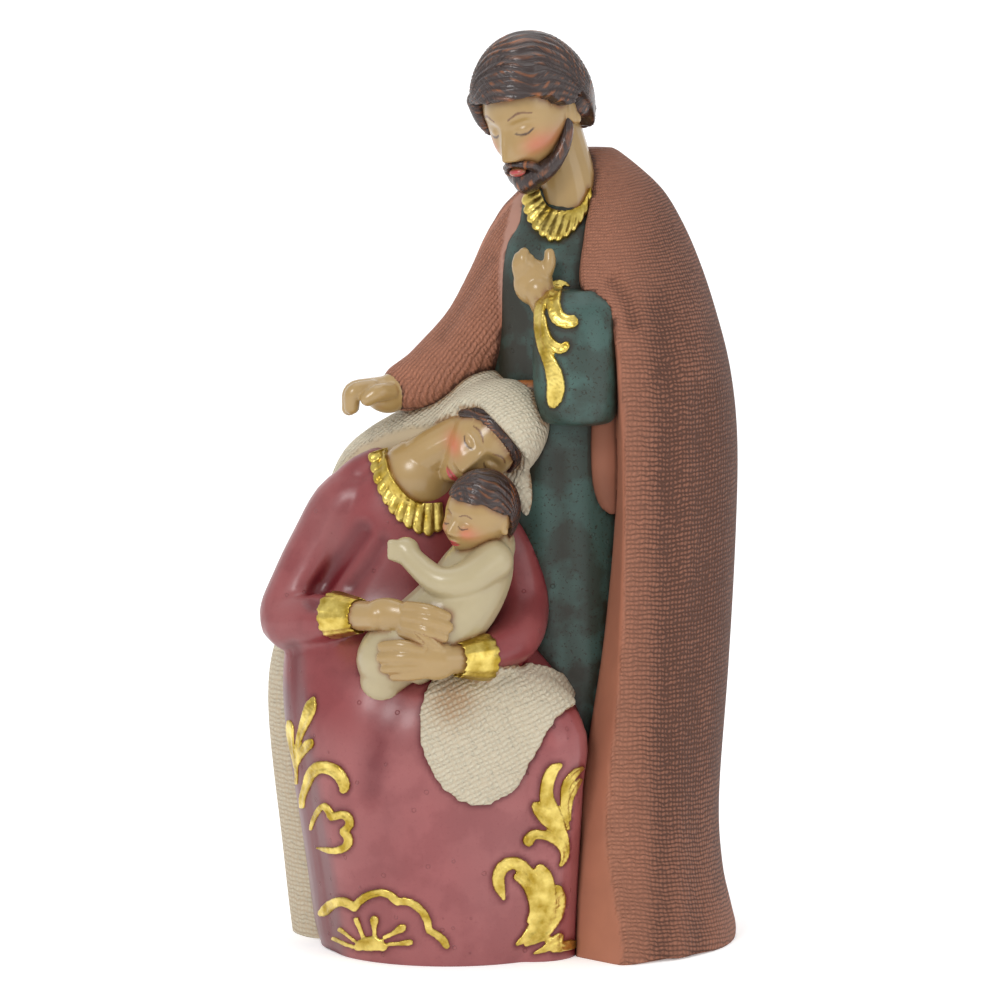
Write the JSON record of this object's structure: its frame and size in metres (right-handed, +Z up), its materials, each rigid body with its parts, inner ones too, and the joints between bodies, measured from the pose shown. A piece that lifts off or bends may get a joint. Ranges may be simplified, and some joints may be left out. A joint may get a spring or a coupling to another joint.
{
  "type": "holy family statue",
  "caption": "Painted resin holy family statue: a bearded man standing behind a seated woman in a veil who holds a sleeping child, with gold scroll ornament.",
  "frame": {"origin": "centre of the bounding box at the underside", "axes": "+Z up, -Y towards the front of the group, +X to the viewer's right"},
  "size_m": [0.1052, 0.0754, 0.2001],
  "materials": {
    "painted_resin": "painted cast resin, mean of the robes",
    "woven_paint": "matt terracotta or ivory paint over a woven cloth texture, dark wash",
    "satin_paint": "satin teal or rose paint with a darker wash in the creases",
    "skin_varnish": "semi-gloss varnished flesh paint",
    "hair_varnish": "semi-gloss dark brown paint rubbed with red brown",
    "gold_leaf": "crinkled bright gold leaf paint on raised ornament"
  },
  "bodies": {
    "root": {"holy_family": "painted_resin"}
  },
  "joints": []
}
